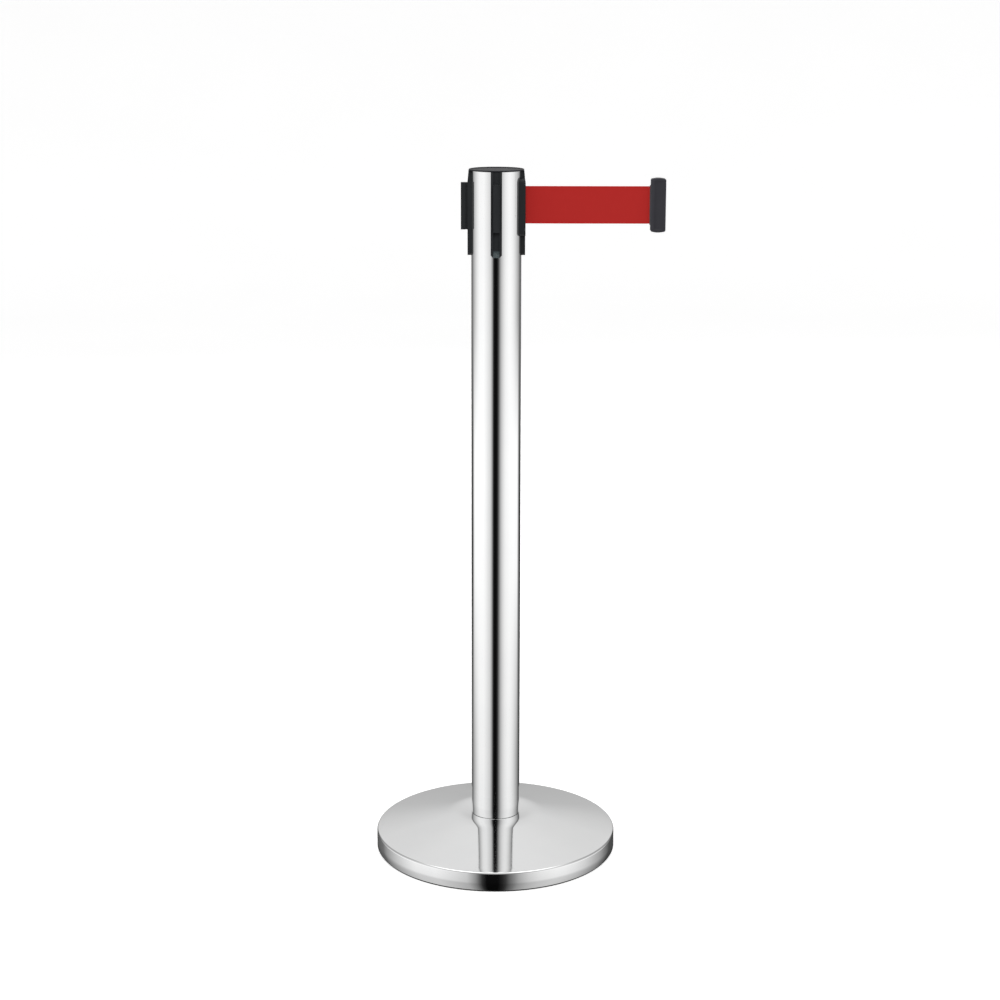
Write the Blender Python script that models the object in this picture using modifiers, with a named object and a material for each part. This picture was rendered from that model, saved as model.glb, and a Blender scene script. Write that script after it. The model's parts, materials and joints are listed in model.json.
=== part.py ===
"""Retractable belt stanchion, one object for each piece, in metres with +Z up.

The origin is the centre of the floor pad's underside. The belt leaves the head along +X, and the other
three sides of the head carry receivers, which take the belt clips of neighbouring stanchions."""

import math

import bmesh
import bpy
from mathutils import Matrix, Vector

NAME = "retractable_belt_stanchion"

# Clearances and mesh settings
GAP = 0.0003  # between pieces that touch
MERGE = 0.0001
FINE = 40  # sides of a large round piece
MIDDLE = 32  # sides of a piece inside the head
COARSE = 24  # sides of a small round piece
TINY = 12  # sides of a screw hole

# Base
BASE_RADIUS = 0.158
PAD_RADIUS = 0.1565
PAD_HEIGHT = 0.002
SHEET = 0.0012  # steel sheet of the cover and of the post
RIM_ROUND = 0.003
RIM_TOP = 0.0262
DOME_SLOPE = 0.22
DISH_SLOPE = 0.09  # down from the crest to the post's foot
CREST_IN = 0.040
CREST_OUT = 0.066
BOLT_HOLE = 0.0075
WEIGHT_RADIUS = 0.1558
WEIGHT_HEIGHT = 0.013
WEIGHT_RIM = 0.010
WEIGHT_RIM_WIDTH = 0.013
WEIGHT_DRAFT = 0.002
BOSS_RADIUS = 0.029
BOSS_TOP = 0.0451
BOSS_HOLE = 0.0066
NUT_POCKET = 0.0125
NUT_SEAT = 0.0348
BOLT_POCKET = 0.0145
BOLT_SEAT = 0.0126

# Bolt that holds the post down
BOLT_RADIUS = 0.0059
BOLT_HEAD_LOW = 0.0029
BOLT_HEAD_TOP = 0.0099
HEX_RADIUS = 0.011  # across the corners of the M12 head and nut
BOLT_END = 0.072
WASHER_OUT = 0.012
WASHER_BORE = 0.0065

# Post
POST_RADIUS = 0.03175
POST_BORE = POST_RADIUS - SHEET
POST_TOP = 0.8981
PLUG_OUT = 0.0302
PLUG_HUB = 0.012
PLUG_HOLE = 0.0063
PLUG_FLANGE = 0.012
PLUG_HEIGHT = 0.030

# Head: strips that stand out through the post's slots
CAP_TOP = 0.900
CAP_RADIUS = 0.0349
CAP_THICK = 0.0016
RIB_HALF = 0.0067
RIB_OUT = 0.0363
RIB_IN = 0.0284
RIB_LOW = 0.792
RIB_CHAMFER = 0.0028
FLANGE_IN = 0.0273
FLANGE_OUT = 0.0287
FLANGE_HALF = 0.009
GROOVE_HALF = 0.004
GROOVE_FLOOR = 0.033
RAMP_TOP = 0.800
TAPER_LOW = 0.884
TAPER_TOP_OUT = 0.0350

# Receiver rail: a T section on the rib, which a belt clip slides down over
RAIL_LOW = 0.8242
RAIL_HIGH = 0.8832
RAIL_NECK_HALF = 0.0025
RAIL_HEAD_HALF = 0.004
RAIL_HEAD_IN = 0.0390
RAIL_OUT = 0.0447

# Belt and its outlet
BELT_WIDTH = 0.047
BELT_THICK = 0.0006
BELT_LENGTH = 2.0  # pulled right out
BELT_Z = 0.855
BEZEL_HALF = 0.015
BEZEL_LOW = 0.817
BEZEL_HIGH = 0.8895
BEZEL_OUT = 0.0366
BEZEL_CORNER = 0.006
OUTLET_HALF = 0.0017
OUTLET_HEIGHT = 0.0504

# Core sleeve inside the post
CORE_OUT = 0.0302
CORE_BORE = 0.0254
CORE_WALL = 0.0270
CORE_LOW = 0.784
CORE_TOP = 0.8977
COLLAR = 0.0074
LIP_LOW = 0.7915
LIP_TOP = 0.7935
LIP_BORE = 0.022

# Cassette
CUP_RADIUS = 0.0250
CUP_BORE = 0.0236
CUP_LOW = 0.7938
CUP_FLOOR = 0.7958
CUP_TOP = 0.883
LID_TOP = 0.8855
WINDOW_LOW_Y = -0.013
WINDOW_HIGH_Y = 0.0032
WINDOW_HEIGHT = 0.052

# Spool, which turns on the arbor
SPOOL_RADIUS = 0.0230
DRUM_BORE = 0.0215
DRUM_LOW = 0.7987
DRUM_CEILING = 0.8285
FLANGE_LOW_TOP = 0.8307
HUB_RADIUS = 0.009
HUB_BORE = 0.0046
HUB_TOP = 0.8793
TOP_FLANGE_HIGH = 0.8816
ARBOR_FOOT = 0.005
ARBOR_RADIUS = 0.003
ARBOR_STEP = 0.8269
SPRING_THICK = 0.0003
SPRING_LOW = 0.801
SPRING_HIGH = 0.825
SPRING_TURNS = 5
SPRING_POINTS = 14  # for each turn
PIN_AT = 0.0069  # radius at which the hub's pin and screws stand

# Belt clip, in its own frame: X from its inner end, Z from the belt's middle
CLIP_X = 0.1928
CLIP_LENGTH = 0.020
CLIP_LIP = 0.0011
CLIP_HALF_DEPTH = 0.0065
CLIP_HALF_HEIGHT = 0.0326
CLIP_DOME = 0.0015
CLIP_EDGE = 0.0005
CLIP_WALL = 0.002
CLIP_LIP_HALF = 0.003
POCKET_X = (0.0028, 0.0094)
CHANNEL_X = (0.0114, 0.0180)
CHANNEL_TOP = 0.0311
MOUTH_HALF = 0.0029
CLIP_PIN_X = 0.0064
CLIP_PIN_RADIUS = 0.0016
CLIP_SCREW_X = 0.0064
CLIP_SCREW_Z = 0.0295

# Finish: colour, roughness, metallic
POLISHED_STEEL = ((0.80, 0.80, 0.80), 0.08, 1.0)
ZINC_STEEL = ((0.55, 0.56, 0.57), 0.35, 1.0)
SPRING_STEEL = ((0.30, 0.32, 0.36), 0.30, 1.0)
CAST_IRON = ((0.09, 0.09, 0.09), 0.75, 0.6)
BLACK_PLASTIC = ((0.014, 0.015, 0.016), 0.42, 0.0)
GREY_PLASTIC = ((0.045, 0.046, 0.050), 0.40, 0.0)
WHITE_NYLON = ((0.75, 0.74, 0.70), 0.45, 0.0)
BLACK_RUBBER = ((0.012, 0.012, 0.012), 0.85, 0.0)
RED_WEBBING = ((0.36, 0.018, 0.016), 0.80, 0.0)


def new_collection(name):
    collection = bpy.data.collections.new(name)
    bpy.context.scene.collection.children.link(collection)
    return collection


def clear_scene():
    for obj in list(bpy.data.objects):
        bpy.data.objects.remove(obj, do_unlink=True)


clear_scene()
PARTS = new_collection(NAME)
HELPERS = new_collection(NAME + "_cutters")


def material_of(name, finish):
    colour, roughness, metallic = finish
    material = bpy.data.materials.new(name)
    material.use_nodes = True
    shader = material.node_tree.nodes["Principled BSDF"]
    shader.inputs["Base Color"].default_value = (*colour, 1.0)
    shader.inputs["Roughness"].default_value = roughness
    shader.inputs["Metallic"].default_value = metallic
    return material


def object_of(name, mesh, finish=None):
    """A part if it has a finish, and otherwise a helper that only cuts or joins."""
    obj = bpy.data.objects.new(name, mesh)
    if finish is None:
        HELPERS.objects.link(obj)
        obj.hide_render = True
        obj.display_type = "WIRE"
        return obj
    PARTS.objects.link(obj)
    mesh.materials.clear()
    mesh.materials.append(material_of(name, finish))
    return obj


def mesh_of(name, shape):
    mesh = bpy.data.meshes.new(name)
    shape.to_mesh(mesh)
    shape.free()
    return mesh


def box(name, low, high, finish=None):
    low, high = Vector(low), Vector(high)
    size = Matrix.Diagonal((*(high - low), 1))
    shape = bmesh.new()
    bmesh.ops.create_cube(shape, size=1, matrix=Matrix.Translation((low + high) / 2) @ size)
    return object_of(name, mesh_of(name, shape), finish)


def cylinder(name, radius, start, end, finish=None, sides=COARSE):
    """A cylinder between two points, or a hexagonal bar with six sides."""
    start, end = Vector(start), Vector(end)
    along = end - start
    turn = along.to_track_quat("Z", "Y").to_matrix().to_4x4()
    shape = bmesh.new()
    bmesh.ops.create_cone(
        shape,
        cap_ends=True,
        segments=sides,
        radius1=radius,
        radius2=radius,
        depth=along.length,
        matrix=Matrix.Translation((start + end) / 2) @ turn,
    )
    mesh = mesh_of(name, shape)
    mesh.shade_smooth()
    mesh.set_sharp_from_angle(angle=math.radians(35))
    return object_of(name, mesh, finish)


def turned(name, profile, finish=None, steps=FINE, shell=False):
    """A profile of (radius, height) points turned about Z, written top to bottom down its outer side.

    One that starts on the axis ends on it. Any other is closed into a ring, unless it is a shell's."""
    shape = bmesh.new()
    points = [shape.verts.new((radius, 0, height)) for radius, height in profile]
    pairs = list(zip(points, points[1:]))
    if profile[0][0] > 0 and not shell:
        pairs.append((points[-1], points[0]))
    for pair in pairs:
        shape.edges.new(pair)
    obj = object_of(name, mesh_of(name, shape), finish)
    screw = obj.modifiers.new("Turn", "SCREW")
    screw.steps = steps
    screw.render_steps = steps
    screw.use_merge_vertices = True
    screw.merge_threshold = MERGE
    screw.use_smooth_shade = True
    return obj


def as_mesh(obj):
    """The object's evaluated shape as one welded mesh. The object itself is removed."""
    bpy.context.view_layer.update()
    graph = bpy.context.evaluated_depsgraph_get()
    mesh = bpy.data.meshes.new_from_object(obj.evaluated_get(graph))
    shape = bmesh.new()
    shape.from_mesh(mesh)
    bmesh.ops.remove_doubles(shape, verts=shape.verts, dist=MERGE / 10)
    shape.to_mesh(mesh)
    shape.free()
    bpy.data.objects.remove(obj, do_unlink=True)
    return mesh


def prism(name, outline, low, high, axis="Z", finish=None):
    """A flat outline extruded from low to high along Z, or along X with its points as (y, z), or along Y
    with its points as (x, z)."""
    curve = bpy.data.curves.new(name, "CURVE")
    curve.dimensions = "2D"
    curve.fill_mode = "BOTH"
    curve.extrude = (high - low) / 2
    spline = curve.splines.new("POLY")
    spline.points.add(len(outline) - 1)
    for point, (across, up) in zip(spline.points, outline):
        point.co = (across, up, 0, 1)
    spline.use_cyclic_u = True
    flat = bpy.data.objects.new(name, curve)
    HELPERS.objects.link(flat)
    mesh = as_mesh(flat)
    middle = Matrix.Translation((0, 0, (low + high) / 2))
    turns = {
        "Z": Matrix.Identity(4),
        "X": Matrix(((0, 0, 1, 0), (1, 0, 0, 0), (0, 1, 0, 0), (0, 0, 0, 1))),
        "Y": Matrix(((1, 0, 0, 0), (0, 0, -1, 0), (0, 1, 0, 0), (0, 0, 0, 1))),
    }
    if axis == "Y":
        middle = Matrix.Translation((0, 0, -(low + high) / 2))
    mesh.transform(turns[axis] @ middle)
    return object_of(name, mesh, finish)


def ribbon(name, path, low, high, thickness, finish):
    """A strip standing on edge along a path of (x, y) points, with its thickness to both sides."""
    shape = bmesh.new()
    points = [shape.verts.new((x, y, low)) for x, y in path]
    edges = [shape.edges.new(pair) for pair in zip(points, points[1:])]
    raised = bmesh.ops.extrude_edge_only(shape, edges=edges)["geom"]
    moved = [item for item in raised if isinstance(item, bmesh.types.BMVert)]
    bmesh.ops.translate(shape, verts=moved, vec=(0, 0, high - low))
    obj = object_of(name, mesh_of(name, shape), finish)
    solidify = obj.modifiers.new("Thickness", "SOLIDIFY")
    solidify.thickness = thickness
    solidify.offset = 0
    solidify.use_even_offset = True
    return obj


def combine(target, operation, *tools):
    for tool in tools:
        boolean = target.modifiers.new(operation.title() + " " + tool.name, "BOOLEAN")
        boolean.operation = operation
        boolean.object = tool
    return target


def cut(target, *tools):
    return combine(target, "DIFFERENCE", *tools)


def join(target, *tools):
    return combine(target, "UNION", *tools)


def bevelled(obj, width, segments=1):
    bevel = obj.modifiers.new("Edges", "BEVEL")
    bevel.width = width
    bevel.segments = segments
    bevel.limit_method = "ANGLE"
    bevel.angle_limit = math.radians(50)
    return obj


def arc(centre, radius, start, end, points):
    """Points on an arc in degrees, both ends included."""
    angles = [math.radians(start + (end - start) * step / (points - 1)) for step in range(points)]
    return [(centre[0] + radius * math.cos(a), centre[1] + radius * math.sin(a)) for a in angles]


def around(count, radius, first=0.0):
    """(x, y) of evenly spaced places on a circle about Z."""
    angles = [first + 2 * math.pi * index / count for index in range(count)]
    return [(radius * math.cos(angle), radius * math.sin(angle)) for angle in angles]


def screw(name, at, tip, head_radius, head_height, radius, finish=ZINC_STEEL, sides=TINY):
    """A screw whose head stands on the point at, with its shank running to tip."""
    at, tip = Vector(at), Vector(tip)
    outward = (at - tip).normalized()
    head = cylinder(name, head_radius, at, at + outward * head_height, finish, sides)
    shank = cylinder(name + "_shank", radius, tip, at + outward * head_height / 2, None, sides)
    return join(head, shank)


# Base ---------------------------------------------------------------------------------------------


def dome_height(radius):
    """Height of the cover: a gentle cone that rounds over at a crest and dips to the post's foot."""
    inside = max(CREST_OUT - radius, 0.0)
    width = CREST_OUT - CREST_IN
    share = max(1 - inside / width, 0.0)
    rounding = (DOME_SLOPE + DISH_SLOPE) * width * (0.5 - share**3 + share**4 / 2)
    cone = RIM_TOP + DOME_SLOPE * (BASE_RADIUS - RIM_ROUND - max(radius, CREST_OUT))
    return cone - DISH_SLOPE * inside + rounding


SEAT_TOP = dome_height(POST_RADIUS)
POST_LOW = SEAT_TOP + GAP


def base_cover():
    rim_centre = (BASE_RADIUS - RIM_ROUND, RIM_TOP - RIM_ROUND)
    steps = 5
    crest = [CREST_IN + (CREST_OUT - CREST_IN) * step / steps for step in range(steps + 1)]
    profile = [(BOLT_HOLE, SEAT_TOP)]
    profile += [(radius, dome_height(radius)) for radius in [POST_RADIUS, *crest]]
    profile += arc(rim_centre, RIM_ROUND, 78, 0, 3)
    profile += [(BASE_RADIUS, PAD_HEIGHT + GAP)]
    cover = turned("base_cover", profile, POLISHED_STEEL, shell=True)
    solidify = cover.modifiers.new("Sheet", "SOLIDIFY")
    solidify.thickness = SHEET
    solidify.offset = -1
    solidify.use_even_offset = True


def base_weight():
    low = PAD_HEIGHT + GAP
    rim_in = WEIGHT_RADIUS - WEIGHT_RIM_WIDTH
    profile = [
        (NUT_POCKET, BOSS_TOP),
        (BOSS_RADIUS, BOSS_TOP),
        (BOSS_RADIUS + WEIGHT_DRAFT, WEIGHT_HEIGHT + WEIGHT_DRAFT),
        (rim_in - WEIGHT_DRAFT, WEIGHT_HEIGHT),
        (rim_in, WEIGHT_RIM),
        (WEIGHT_RADIUS, WEIGHT_RIM),
        (WEIGHT_RADIUS, low),
        (BOLT_POCKET, low),
        (BOLT_POCKET, BOLT_SEAT),
        (BOSS_HOLE, BOLT_SEAT),
        (BOSS_HOLE, NUT_SEAT),
        (NUT_POCKET, NUT_SEAT),
    ]
    turned("base_weight", profile, CAST_IRON, steps=MIDDLE)
    high, under = BOLT_SEAT - GAP, BOLT_HEAD_TOP + GAP
    washer = [(WASHER_OUT, high), (WASHER_OUT, under), (WASHER_BORE, under), (WASHER_BORE, high)]
    turned("base_bolt_washer", washer, ZINC_STEEL, steps=COARSE)
    nut_low, nut_high = (0, 0, NUT_SEAT + GAP), (0, 0, BOSS_TOP - GAP)
    nut = cylinder("base_bolt_nut", HEX_RADIUS, nut_low, nut_high, ZINC_STEEL, 6)
    cut(nut, cylinder("nut_hole", BOLT_RADIUS + GAP, (0, 0, BOLT_SEAT), (0, 0, SEAT_TOP)))


def base_bolt():
    head = cylinder("base_bolt", HEX_RADIUS, (0, 0, BOLT_HEAD_LOW), (0, 0, BOLT_HEAD_TOP), ZINC_STEEL, 6)
    middle = (BOLT_HEAD_LOW + BOLT_HEAD_TOP) / 2
    join(head, cylinder("base_bolt_shank", BOLT_RADIUS, (0, 0, middle), (0, 0, BOLT_END)))


def floor_pad():
    turned("floor_pad", [(0, PAD_HEIGHT), (PAD_RADIUS, PAD_HEIGHT), (PAD_RADIUS, 0), (0, 0)], BLACK_RUBBER)


# Post ---------------------------------------------------------------------------------------------


def rib_outline(clearance, high):
    """A strip's rib from outside: straight sides and a chamfered lower end, grown by a clearance."""
    half, low = RIB_HALF + clearance, RIB_LOW - clearance
    corner = RIB_CHAMFER
    lower = [(-half, low + corner), (corner - half, low), (half - corner, low), (half, low + corner)]
    return [(-half, high), *lower, (half, high)]


def post():
    outside = [(POST_RADIUS, POST_TOP), (POST_RADIUS, POST_LOW)]
    tube = turned("post_tube", outside + [(POST_BORE, POST_LOW), (POST_BORE, POST_TOP)], POLISHED_STEEL)
    reach = POST_RADIUS * 1.5
    slot = rib_outline(GAP, CAP_TOP)
    cut(tube, prism("slot_cut_x", slot, -reach, reach, "X"), prism("slot_cut_y", slot, -reach, reach, "Y"))
    plug = [
        (PLUG_HUB, POST_LOW + PLUG_HEIGHT),
        (PLUG_HUB, POST_LOW + PLUG_FLANGE),
        (PLUG_OUT, POST_LOW + PLUG_FLANGE),
        (PLUG_OUT, POST_LOW),
        (PLUG_HOLE, POST_LOW),
        (PLUG_HOLE, POST_LOW + PLUG_HEIGHT),
    ]
    turned("post_foot_plug", plug, ZINC_STEEL, steps=MIDDLE)


# Head ---------------------------------------------------------------------------------------------


def belt_window(name, inner, outer):
    """Cutter for the opening through which the belt crosses a wall on its way from the coil."""
    half = WINDOW_HEIGHT / 2
    return box(name, (inner, WINDOW_LOW_Y, BELT_Z - half), (outer, WINDOW_HIGH_Y, BELT_Z + half))


def head_core():
    profile = [
        (CORE_BORE, CORE_TOP),
        (CORE_OUT, CORE_TOP),
        (CORE_OUT, CORE_TOP - COLLAR),
        (CORE_WALL, CORE_TOP - COLLAR),
        (CORE_WALL, CORE_LOW + COLLAR),
        (CORE_OUT, CORE_LOW + COLLAR),
        (CORE_OUT, CORE_LOW),
        (CORE_BORE, CORE_LOW),
        (CORE_BORE, LIP_LOW),
        (LIP_BORE, LIP_LOW),
        (LIP_BORE, LIP_TOP),
        (CORE_BORE, LIP_TOP),
    ]
    core = turned("head_core", profile, BLACK_PLASTIC)
    cut(core, belt_window("core_window", LIP_BORE, CORE_WALL + 0.001))
    half = FLANGE_HALF + GAP
    low, high = (FLANGE_IN - GAP / 2, -half, RIB_LOW), (RIB_OUT, half, CAP_TOP)
    for quarter in range(4):
        notch = box(f"core_notch_{quarter}", low, high)
        notch.rotation_euler.z = quarter * math.pi / 2
        cut(core, notch)


def top_cap():
    under = CAP_TOP - CAP_THICK
    skirt_out, skirt_in, skirt_low = CORE_BORE - GAP, CORE_BORE - 0.0018, CORE_TOP - 0.0087
    edge = 0.0007
    profile = [
        (0, CAP_TOP),
        (CAP_RADIUS - edge, CAP_TOP),
        (CAP_RADIUS, CAP_TOP - edge),
        (CAP_RADIUS, under),
        (skirt_out, under),
        (skirt_out, skirt_low),
        (skirt_in, skirt_low),
        (skirt_in, under),
        (0, under),
    ]
    turned("top_cap", profile, BLACK_PLASTIC)


def rib(name, groove_top):
    """A strip's rib and inner flange on the +X side, with the groove that ends below in a ramp."""
    body = prism(name, rib_outline(0, POST_TOP), RIB_IN, RIB_OUT, "X", BLACK_PLASTIC)
    flange_low = (FLANGE_IN, -FLANGE_HALF, RIB_LOW + RIB_CHAMFER)
    flange = box(name + "_flange", flange_low, (FLANGE_OUT, FLANGE_HALF, POST_TOP - GAP))
    past = RIB_OUT + 0.004
    slope = (RAMP_TOP - RIB_LOW) / (RIB_OUT - GROOVE_FLOOR)
    groove_side = [
        (GROOVE_FLOOR, RAMP_TOP),
        (past, RAMP_TOP - slope * (past - GROOVE_FLOOR)),
        (past, groove_top),
        (GROOVE_FLOOR, groove_top),
    ]
    groove = prism(name + "_groove", groove_side, -GROOVE_HALF, GROOVE_HALF, "Y")
    taper = (RIB_OUT - TAPER_TOP_OUT) / (POST_TOP - TAPER_LOW)
    taper_side = [
        (RIB_OUT, TAPER_LOW),
        (past, TAPER_LOW),
        (past, CAP_TOP),
        (RIB_OUT - taper * (CAP_TOP - TAPER_LOW), CAP_TOP),
    ]
    tapered = prism(name + "_taper", taper_side, -BEZEL_HALF - 0.005, BEZEL_HALF + 0.005, "Y")
    return cut(join(body, flange), groove), tapered


def receivers():
    """Three strips that share one mesh: the rib, and the rail that stands on it."""
    strip, tapered = rib("receiver_left", CAP_TOP + 0.001)
    cut(strip, tapered)
    section = [
        (GROOVE_FLOOR - 0.001, -RAIL_NECK_HALF),
        (RAIL_HEAD_IN, -RAIL_NECK_HALF),
        (RAIL_HEAD_IN, -RAIL_HEAD_HALF),
        (RAIL_OUT, -RAIL_HEAD_HALF),
        (RAIL_OUT, RAIL_HEAD_HALF),
        (RAIL_HEAD_IN, RAIL_HEAD_HALF),
        (RAIL_HEAD_IN, RAIL_NECK_HALF),
        (GROOVE_FLOOR - 0.001, RAIL_NECK_HALF),
    ]
    join(strip, prism("receiver_rail", section, RAIL_LOW, RAIL_HIGH))
    mesh = as_mesh(strip)
    for name, quarter in (("receiver_left", 2), ("receiver_front", 3), ("receiver_rear", 1)):
        copy = object_of(name, mesh.copy(), BLACK_PLASTIC)
        copy.rotation_euler.z = quarter * math.pi / 2


def belt_outlet():
    """The fourth strip, with the bezel round the slot that the belt comes out of."""
    strip, tapered = rib("belt_outlet", BEZEL_LOW + 0.002)
    corner, foot = BEZEL_CORNER, 0.002
    high, low, half = BEZEL_HIGH, BEZEL_LOW, BEZEL_HALF
    outline = arc((half - corner, high - corner), corner, 0, 90, 4)
    outline += arc((corner - half, high - corner), corner, 90, 180, 4)
    outline += [(-half, low + foot), (foot - half, low), (half - foot, low), (half, low + foot)]
    bezel = prism("bezel_plate", outline, RIB_IN - 0.006, BEZEL_OUT, "X")
    clear = [(0, 0, CORE_LOW), (0, 0, CAP_TOP)]
    cut(bezel, cylinder("bezel_post_clearance", POST_RADIUS + GAP, *clear, None, FINE))
    half_height = OUTLET_HEIGHT / 2
    slot_low = (FLANGE_IN - 0.003, -OUTLET_HALF, BELT_Z - half_height)
    slot = box("outlet_slot", slot_low, (BEZEL_OUT + 0.002, OUTLET_HALF, BELT_Z + half_height))
    flare_low = (FLANGE_IN - 0.003, -0.0049, BELT_Z - half_height)
    flare = box("outlet_flare", flare_low, (0.031, OUTLET_HALF, BELT_Z + half_height))
    cut(join(strip, bezel), tapered, slot, flare)


# Cassette -----------------------------------------------------------------------------------------


def cassette():
    hole = 0.0016
    profile = [
        (CUP_RADIUS, CUP_TOP),
        (CUP_RADIUS, CUP_LOW),
        (hole, CUP_LOW),
        (hole, CUP_FLOOR),
        (CUP_BORE, CUP_FLOOR),
        (CUP_BORE, CUP_TOP),
    ]
    cup = turned("cassette_cup", profile, GREY_PLASTIC, steps=MIDDLE)
    cut(cup, belt_window("cup_window", HUB_RADIUS, CUP_RADIUS + 0.001))
    lid = [(hole, LID_TOP), (CUP_RADIUS, LID_TOP), (CUP_RADIUS, CUP_TOP + GAP), (hole, CUP_TOP + GAP)]
    turned("cassette_lid", lid, GREY_PLASTIC, steps=MIDDLE)


def arbor():
    low, high, bore, depth = CUP_FLOOR + GAP, CUP_TOP, 0.0015, 0.010
    profile = [
        (ARBOR_RADIUS, high),
        (ARBOR_RADIUS, ARBOR_STEP),
        (ARBOR_FOOT, ARBOR_STEP),
        (ARBOR_FOOT, low),
        (bore, low),
        (bore, low + depth),
        (0, low + depth),
    ]
    profile = [(0, high - depth), (bore, high - depth), (bore, high)] + profile
    turned("spring_arbor", profile, ZINC_STEEL, steps=COARSE)
    head_radius, head_height, shank = 0.003, 0.0019, 0.0012
    top, bottom = LID_TOP + GAP, CUP_LOW - GAP
    screw("arbor_screw_top", (0, 0, top), (0, 0, top - 0.010), head_radius, head_height, shank)
    screw("arbor_screw_bottom", (0, 0, bottom), (0, 0, bottom + 0.010), head_radius, head_height, shank)


def spool_bushes():
    bore, out, flange, length = ARBOR_RADIUS + 0.00015, HUB_BORE - 0.00015, 0.007, 0.012
    low = DRUM_CEILING + GAP
    lower = [
        (out, low + length),
        (out, DRUM_CEILING - GAP),
        (flange, DRUM_CEILING - GAP),
        (flange, ARBOR_STEP + GAP),
        (bore, ARBOR_STEP + GAP),
        (bore, low + length),
    ]
    turned("spool_bush_lower", lower, WHITE_NYLON, steps=COARSE)
    top = TOP_FLANGE_HIGH - GAP
    upper = [(out, top), (out, top - length), (bore, top - length), (bore, top)]
    turned("spool_bush_upper", upper, WHITE_NYLON, steps=COARSE)


def spool():
    profile = [
        (HUB_RADIUS, HUB_TOP),
        (HUB_RADIUS, FLANGE_LOW_TOP),
        (SPOOL_RADIUS, FLANGE_LOW_TOP),
        (SPOOL_RADIUS, DRUM_LOW),
        (DRUM_BORE, DRUM_LOW),
        (DRUM_BORE, DRUM_CEILING),
        (HUB_BORE, DRUM_CEILING),
        (HUB_BORE, HUB_TOP),
    ]
    body = turned("belt_spool", profile, WHITE_NYLON, steps=MIDDLE)
    half = BELT_WIDTH / 2
    pin_low, pin_high = BELT_Z - half, BELT_Z + half
    pin = ((PIN_AT, 0, pin_low + GAP), (PIN_AT, 0, pin_high - GAP))
    cut(
        body,
        cylinder("hub_pin_hole", 0.0013, (PIN_AT, 0, pin_low), (PIN_AT, 0, pin_high), None, TINY),
        box("hub_slit", (PIN_AT, -0.0005, pin_low + GAP), (HUB_RADIUS + 0.001, 0.0005, pin_high - GAP)),
    )
    cylinder("belt_inner_pin", 0.001, *pin, ZINC_STEEL, TINY)
    under, thread = HUB_TOP + GAP, 0.009
    flange_profile = [
        (SPOOL_RADIUS, TOP_FLANGE_HIGH),
        (SPOOL_RADIUS, under),
        (HUB_BORE, under),
        (HUB_BORE, TOP_FLANGE_HIGH),
    ]
    flange = turned("spool_top_flange", flange_profile, WHITE_NYLON, steps=MIDDLE)
    for number, (x, y) in enumerate(around(3, PIN_AT, math.pi / 2), 1):
        tip, seat = (x, y, HUB_TOP - thread), (x, y, TOP_FLANGE_HIGH + GAP)
        hole_low, hole_high = (x, y, HUB_TOP - thread - GAP), (x, y, CAP_TOP)
        hole = cylinder(f"flange_screw_hole_{number}", 0.0012, hole_low, hole_high, None, TINY)
        cut(body, hole)
        cut(flange, hole)
        screw(f"spool_flange_screw_{number}", seat, tip, 0.0019, 0.001, 0.0009)


def spring_drum():
    high, low = DRUM_LOW - GAP, CUP_FLOOR + 0.0009
    hole = ARBOR_FOOT + 0.0010
    cover = [(SPOOL_RADIUS, high), (SPOOL_RADIUS, low), (hole, low), (hole, high)]
    turned("spring_drum_cover", cover, WHITE_NYLON, steps=MIDDLE)
    inner, outer = ARBOR_FOOT + 0.0005, DRUM_BORE - 0.0005
    count = SPRING_TURNS * SPRING_POINTS
    path = []
    for step in range(count + 1):
        angle = 2 * math.pi * step / SPRING_POINTS
        radius = inner + (outer - inner) * step / count
        path.append((radius * math.cos(angle), radius * math.sin(angle)))
    ribbon("power_spring", path, SPRING_LOW, SPRING_HIGH, SPRING_THICK, SPRING_STEEL)


# Belt ---------------------------------------------------------------------------------------------


def coil_radius():
    """Outside of the belt that is still wound up, from its length and thickness."""
    inner = HUB_RADIUS + GAP
    wound = BELT_LENGTH - (CLIP_X - BEZEL_OUT)
    return math.sqrt(inner**2 + wound * BELT_THICK / math.pi)


def belt():
    low, high = BELT_Z - BELT_WIDTH / 2, BELT_Z + BELT_WIDTH / 2
    outer, inner = coil_radius(), HUB_RADIUS + GAP
    wound = [(outer, high), (outer, low), (inner, low), (inner, high)]
    turned("belt_coil", wound, RED_WEBBING, steps=MIDDLE)
    bend = 0.031
    clear = outer + BELT_THICK / 2 + GAP
    off = math.acos(clear / bend)
    leave = (clear * math.cos(off), -clear * math.sin(off))
    run = (bend - leave[0], -leave[1])
    near = 0.1
    path = [leave, (bend - near * run[0], -near * run[1]), (bend + near * run[0], 0), (BEZEL_OUT - GAP, 0)]
    ribbon("belt_lead", path, low, high, BELT_THICK, RED_WEBBING)
    start = (BEZEL_OUT, 0)
    pin_x = CLIP_X + CLIP_PIN_X
    wrap = CLIP_PIN_RADIUS + GAP + BELT_THICK / 2
    fork = CLIP_X + POCKET_X[0] + GAP
    open_angle = 180 - math.degrees(math.acos(wrap / (pin_x - fork)))
    loop = arc((pin_x, 0), wrap, open_angle, -open_angle, 9)
    tail = (fork * 0.4 + loop[-1][0] * 0.6, loop[-1][1] * 0.6)
    ribbon("belt_strip", [start, (fork, 0), *loop, tail], low, high, BELT_THICK, RED_WEBBING)


# Belt clip ----------------------------------------------------------------------------------------


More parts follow.
